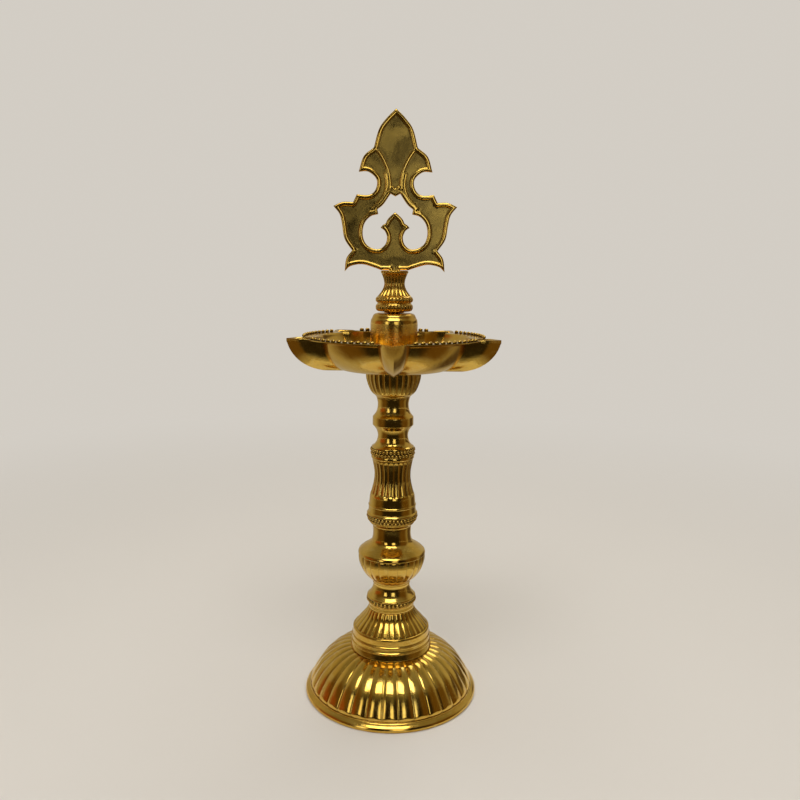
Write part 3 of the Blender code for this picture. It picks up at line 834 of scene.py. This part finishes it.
def inside_loop(points, loop):
    """Whether each point lies inside a closed loop."""
    a, b = loop, np.roll(loop, -1, axis=0)
    hit = np.zeros(len(points), bool)
    for (x1, y1), (x2, y2) in zip(a, b):
        if y1 == y2:
            continue
        crosses = (points[:, 1] > y1) != (points[:, 1] > y2)
        hit ^= crosses & (points[:, 0] < (x2 - x1) * (points[:, 1] - y1) / (y2 - y1) + x1)
    return hit


def plate_height(edge, ridge):
    """Half the plate's thickness, from the distance to its edge and to the nearest raised line."""
    across = np.clip(np.abs(edge - CREST_IN) / CREST_IN, 0, 1)
    border = FIELD_HALF + (PLATE_HALF - FIELD_HALF) * np.sqrt(1 - across ** 2)
    border = np.where(edge < CREST_IN, np.maximum(border, EDGE_HALF), border)
    groove = GROOVE_DEPTH * np.clip(1 - np.abs(edge - GROOVE_IN) / GROOVE_HALF_WIDTH, 0, 1)
    line = FIELD_HALF + LINE_HEIGHT * np.sqrt(np.clip(1 - (ridge / LINE_HALF_WIDTH) ** 2, 0, 1))
    return np.maximum(border - groove, line)


def plate_loops():
    """The plate's outer edge and its opening, each as a closed loop of points."""
    loops = []
    for half, back in ((half_outline(), slice(None, 0, -1)), (half_opening(), slice(-2, 0, -1))):
        loops.append(dense(half + [(-x, z) for x, z in half[back]], PLATE_GAP, True))
    return loops


def sideways(run):
    """Unit vectors at right angles to a line's steps."""
    return np.stack([-run[:, 1], run[:, 0]], 1) / (np.linalg.norm(run, axis=1, keepdims=True) + 1e-9)


def field_points(loops, ridges, edge_distance, ridge_distance):
    """Points in lines beside each edge and raised line, then an open field of wider spacing."""
    rows = []
    for loop in loops:
        side = sideways(np.roll(loop, -1, axis=0) - np.roll(loop, 1, axis=0))
        for offset in (0.14, 0.55, 1.05, 1.55, 2.05, 2.5, 2.9, 3.3, 3.7):
            for sign in (1, -1):
                near = loop + sign * offset * side
                rows.append(near[edge_distance(near) > offset * 0.93])
    for line in ridges:
        side = sideways(np.gradient(line, axis=0))
        for offset in (-1.3, -0.9, -0.45, 0.0, 0.45, 0.9, 1.3):
            near = line + offset * side
            clear = (edge_distance(near) > 2.9) & (ridge_distance(near) > abs(offset) * 0.93)
            rows.append(near[clear])
    across, up = np.meshgrid(np.arange(-48, 48, 1.5), np.arange(332, 458, FIELD_GAP))
    across = across + (np.arange(len(across)) % 2)[:, None] * 0.75
    field = np.stack([across.ravel(), up.ravel()], 1)
    rows.append(field[(edge_distance(field) > 3.9) & (ridge_distance(field) > 1.7)])
    points = np.vstack(rows)
    points = points[inside_loop(points, loops[0]) & ~inside_loop(points, loops[1])]
    # one point for each small square, so that none crowd together
    squares = np.round(points / (PLATE_GAP * 0.42)).astype(int)
    _, first = np.unique(squares, axis=0, return_index=True)
    return points[np.sort(first)]


def flat_plate(loops, extra):
    """The plate's points and triangles, flat, with every triangle wound the same way."""
    edges, start = [], 0
    for loop in loops:
        count = len(loop)
        edges += [(start + i, start + (i + 1) % count) for i in range(count)]
        start += count
    flat = [Vector(p) for p in np.vstack([*loops, extra])]
    verts, _, tris, *_ = geometry.delaunay_2d_cdt(flat, edges, [], 0, 1e-4)
    verts = np.array([tuple(v) for v in verts])
    middle = np.array([verts[list(t)].mean(0) for t in tris])
    solid = inside_loop(middle, loops[0]) & ~inside_loop(middle, loops[1])
    tris = [t for t, keep in zip(tris, solid) if keep]
    used = sorted({i for t in tris for i in t})
    index = {v: i for i, v in enumerate(used)}
    verts = verts[used]
    wound = []
    for a, b, c in ([index[i] for i in t] for t in tris):
        wind = np.cross(verts[b] - verts[a], verts[c] - verts[a])
        wound.append([a, b, c] if wind > 0 else [a, c, b])
    return verts, wound


def pierced_plate():
    """The flat pierced plate, cast with a raised border round every edge on both faces."""
    loops, ridges = plate_loops(), plate_ridges()

    def edge_distance(points):
        return np.min([distance_to(points, loop, True) for loop in loops], axis=0)

    def ridge_distance(points):
        return np.min([distance_to(points, line, False) for line in ridges], axis=0)

    verts, tris = flat_plate(loops, field_points(loops, ridges, edge_distance, ridge_distance))
    edge, ridge = edge_distance(verts), ridge_distance(verts)
    tang = ramp(verts[:, 1], TANG_TOP - 0.4, TANG_TOP - 1.0)
    half = plate_height(edge, ridge) * (1 - tang) + TANG_HALF * tang
    hollow = ramp(edge, 2.7, 3.3) * ramp(ridge, 1.0, 1.5)
    # the corner at the foot of the raised border and of the raised lines is darkened, as tarnish and
    # painted shade
    corner = ramp(edge, 2.7, 3.1) * (1 - ramp(edge, 3.1, 3.9))
    corner = np.maximum(corner, 0.7 * ramp(ridge, 0.9, 1.3) * (1 - ramp(ridge, 1.3, 2.1)))
    front = np.stack([verts[:, 0], -half, verts[:, 1]], 1)
    back = np.stack([verts[:, 0], half, verts[:, 1]], 1)
    count = len(verts)
    faces, directed = [], set()
    for face in tris:
        faces.append(face)
        faces.append([i + count for i in face[::-1]])
        directed.update(zip(face, face[1:] + face[:1]))
    for i, j in sorted(directed):
        if (j, i) not in directed:
            faces.append([j, i, i + count, j + count])
    obj = piece("pierced_plate", np.vstack([front, back]), faces, np.tile(0.55 * corner, 2), sharp=50)
    record(obj.data, "field", np.tile(hollow, 2))
    return obj


# ---- the threaded studs

def threaded(node):
    """A stud with its screw thread and chamfered ends, in place of the plain CAD cylinder."""
    low, high = SEAT[node], TOP[node]
    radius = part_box(node)[1].x / MM
    columns = 40
    rows_per_turn = 10
    rows = int(round((high - low) / THREAD_PITCH * rows_per_turn))
    angle = np.arange(columns) * math.tau / columns
    z = np.linspace(low, high, rows + 1)[:, None]
    turn = (z / THREAD_PITCH - angle / math.tau) % 1
    groove = np.clip(1.25 * np.abs(2 * turn - 1) - 0.12, 0, 1)
    end = np.minimum(z - low, high - z)
    limit = radius - np.clip(0.9 - end, 0, 0.9)
    r = np.minimum(radius - THREAD_DEPTH * groove, limit)
    points = np.stack([r * np.cos(angle), r * np.sin(angle), z + 0 * angle], -1)[::-1]
    coords = np.vstack([points.reshape(-1, 3), [[0, 0, high], [0, 0, low]]])
    faces = ring_faces(rows + 1, columns, False) + caps(rows + 1, columns)
    # the thread's grooves are darkened, as tarnish and painted shade
    hollow_darkening = np.concatenate([(0.5 * groove + 0 * r)[::-1].ravel(), [0, 0]])
    return piece(node + "_thread", coords, faces, hollow_darkening, sharp=40)


# ---- the studio

def only_reflected(name, coords, faces, colour=None):
    """A glowing card that only the polished metal sees, as a photographer sets one up."""
    mesh = bpy.data.meshes.new(name)
    mesh.from_pydata(coords, [], faces)
    obj = linked(name, mesh)
    obj.visible_camera = False
    obj.visible_diffuse = False
    obj.visible_shadow = False
    n = Nodes(bpy.data.materials.new(name))
    n.glow(colour or floor_colour(n))
    mesh.materials.append(n.material)


def window(name, azimuth, elevation, distance, size, radiance):
    """A soft rectangular light, placed by its direction from the lamp. Azimuth 0 is the front."""
    a, e = math.radians(azimuth), math.radians(elevation)
    data = bpy.data.lights.new(name, "AREA")
    data.shape = "RECTANGLE"
    data.size, data.size_y = size
    data.energy = radiance * math.pi * size[0] * size[1]
    data.color = (1.0, 0.98, 0.94)
    obj = linked(name, data)
    target = Vector((0, 0, 0.2))
    way = Vector((math.sin(a) * math.cos(e), -math.cos(a) * math.cos(e), math.sin(e)))
    obj.location = target + way * distance
    obj.rotation_euler = (-way).to_track_quat("-Z", "Y").to_euler()
    obj.visible_camera = False
    return obj


def floor():
    """A wide pale floor that fades into the backdrop."""
    reach = 30.0
    mesh = bpy.data.meshes.new("floor")
    mesh.from_pydata([(-reach, -reach, 0), (reach, -reach, 0), (reach, reach, 0), (-reach, reach, 0)],
                     [], [(0, 1, 2, 3)])
    n = Nodes(bpy.data.materials.new("pale_floor"))
    place = n.add("ShaderNodeTexCoord").outputs["Object"]
    tone = n.mix(n.noise(place, 3.0, 3.0), (0.74, 0.715, 0.69), (0.76, 0.735, 0.71))
    away = n.add("ShaderNodeVectorMath", {"Vector": place}, operation="LENGTH").outputs["Value"]
    fade = n.soft(away, 0.22, 1.25)
    n.glow(n.mix(fade, (0.0, 0.0, 0.0), BACKDROP))
    n.surface("Base Color", n.mix(fade, tone, (0.0, 0.0, 0.0)))
    n.surface("Roughness", 0.9)
    mesh.materials.append(n.material)
    linked("floor", mesh)


def compass(n, vector):
    """The angle round the lamp, 0 in front and positive to the right, in degrees, and the height."""
    split = n.add("ShaderNodeSeparateXYZ", {"Vector": vector}).outputs
    turn = n.math("ARCTAN2", split["X"], n.math("MULTIPLY", split["Y"], -1.0))
    return n.math("MULTIPLY", turn, 180 / math.pi), split["Z"]


def floor_colour(n):
    """The reflected floor: dark in front, brown beside that, pale behind and close to the lamp."""
    place = n.add("ShaderNodeTexCoord").outputs["Object"]
    azimuth, _ = compass(n, place)
    off = n.math("ABSOLUTE", azimuth)
    away = n.add("ShaderNodeVectorMath", {"Vector": place}, operation="LENGTH").outputs["Value"]
    tone = n.mix(n.between(off, 40.1, 57.3), DARK, BROWN)
    tone = n.mix(n.between(off, 83.1, 111.7), tone, PALE)
    doorway = n.math("MULTIPLY", n.between(azimuth, 100.3, 111.7), n.between(azimuth, 151.8, 134.6))
    tone = n.mix(n.math("MULTIPLY", doorway, 0.9), tone, BROWN_DEEP)
    return n.mix(n.between(away, 0.16, 0.27), PALE, tone)


def reflected_floor():
    """A wide flat ring just over the floor, for the metal only."""
    segments = 96
    radii = (0.15, 0.3, 1.0, 6.0)
    lift = 0.001
    coords = [(r * math.sin(math.tau * k / segments), -r * math.cos(math.tau * k / segments), lift)
              for r in radii for k in range(segments)]
    only_reflected("reflected_floor", coords, ring_faces(len(radii), segments, False))


def dark_board():
    """An upright dark board in front of the lamp, beyond the camera."""
    side, top, y = 1.45, 0.9, -1.75
    coords = [(-side, y, 0), (side, y, 0), (side, y, top), (-side, y, top)]
    only_reflected("dark_board", coords, [(0, 1, 2, 3)], DARK)


def room():
    """A plain backdrop to look at, and a dim room with pale sides for the brass to reflect."""
    world = bpy.data.worlds.new("room")
    bpy.context.scene.world = world
    n = Nodes(world, "Background")
    azimuth, up = compass(n, n.add("ShaderNodeTexCoord").outputs["Generated"])
    off = n.math("ABSOLUTE", azimuth)

    def within(value, low, high, edge):
        """1 from low to high, with a soft edge on each side."""
        return n.math("MULTIPLY", n.soft(value, low - edge, low), n.soft(value, high + edge, high))

    tone = n.mix(n.soft(off, 40.0, 58.0), DARK, BROWN)
    tone = n.mix(n.soft(off, 84.0, 112.0), tone, PALE)
    tone = n.mix(n.soft(up, 0.5, 0.85), tone, CEILING)
    red = n.math("MULTIPLY", within(azimuth, -98.0, -72.0, 14.0), within(up, -0.2, 0.2, 0.2))
    tone = n.mix(n.math("MULTIPLY", red, 0.7), tone, RED)
    doorway = n.math("MULTIPLY", within(azimuth, 108.0, 140.0, 10.0), within(up, -0.4, 0.15, 0.1))
    tone = n.mix(n.math("MULTIPLY", doorway, 0.9), tone, BROWN_DEEP)
    seen = n.add("ShaderNodeLightPath").outputs["Is Camera Ray"]
    n.surface("Color", n.mix(seen, tone, BACKDROP))


def camera():
    """The photographer's view: a little above the dish, looking slightly down."""
    data = bpy.data.cameras.new("camera")
    data.lens = LENS
    data.sensor_width = 36.0
    data.shift_x = CAMERA_SHIFT
    view = linked("camera", data)
    view.location = CAMERA_AT
    view.rotation_euler = (math.radians(90 - CAMERA_DOWN), math.radians(CAMERA_ROLL), 0)
    bpy.context.scene.camera = view


def studio():
    """The floor, the room, the lights and the camera."""
    floor()
    room()
    reflected_floor()
    dark_board()
    window("window_left", -35, 15, 1.55, (0.36, 0.62), 1.5)
    window("window_right", 11, 15, 1.55, (0.44, 0.62), 1.5)
    window("overhead", -5, 60, 1.5, (1.1, 0.55), 4.0)
    window("back_light", 160, 50, 1.7, (1.0, 0.7), 2.0)
    window("floor_fill", 0, 89, 3.0, (4.0, 4.0), 1.0).visible_glossy = False
    camera()
    bpy.context.scene.view_settings.view_transform = "Standard"
    bpy.context.scene.view_settings.look = "None"


# ---- the whole lamp

def lamp():
    """Every piece with its material, its body and the CAD node that it stands for."""
    foot_brass = brass("bell_brass", rough=0.12, turned=0.3, wavy=0.7)
    collar_brass = brass("collar_brass", rough=0.11, turned=1.0, wavy=0.6)
    stem_brass = brass("stem_brass", rough=0.11, turned=1.0, wavy=0.8)
    dish_brass = brass("dish_brass", rough=0.13, turned=0.7, wavy=1.0)
    socket_brass = brass("socket_brass", rough=0.17, turned=0.25, wavy=0.5, mottled=0.2)
    finial_brass = brass("finial_brass", rough=0.15, turned=0.4, wavy=1.0)
    plate_brass = brass("plate_brass", rough=0.13, turned=0.0, wavy=0.6, field=True)
    stud_brass = brass("stud_brass", rough=0.28, turned=0.0, wavy=0.5, colour=STUD_GOLD)

    placed(bell_foot(), "foot", "bell_brass", foot_brass, "base_bell")
    placed(foot_collar(), "foot", "collar_brass", collar_brass, "base_collar")
    placed(lower_section(), "lower_section", "stem_brass", stem_brass, "lower_stem")
    placed(upper_section(), "upper_section", "stem_brass", stem_brass, "upper_stem")
    placed(cup(), "dish_section", "stem_brass", stem_brass, "dish_cup")
    placed(dish(), "dish_section", "dish_brass", dish_brass, "oil_dish")
    placed(rim_beads(), "dish_section", "dish_brass", dish_brass)
    placed(socket(), "dish_section", "dish_brass", socket_brass, "dish_socket")
    placed(finial_waist(), "finial_section", "finial_brass", finial_brass, "finial_stem")
    placed(pierced_plate(), "finial_section", "finial_brass", plate_brass, "finial_plate")
    for node, body in (("lower_stud", "lower_thread"), ("middle_stud", "middle_thread"),
                       ("dish_stud", "dish_thread"), ("finial_stud", "finial_thread")):
        placed(threaded(node), body, "stud_brass", stud_brass, node)
    gasket = frame["nodes"]["dish_gasket"]
    gasket.data.materials.clear()
    gasket.data.materials.append(leather("gasket_leather"))


lamp()
studio()
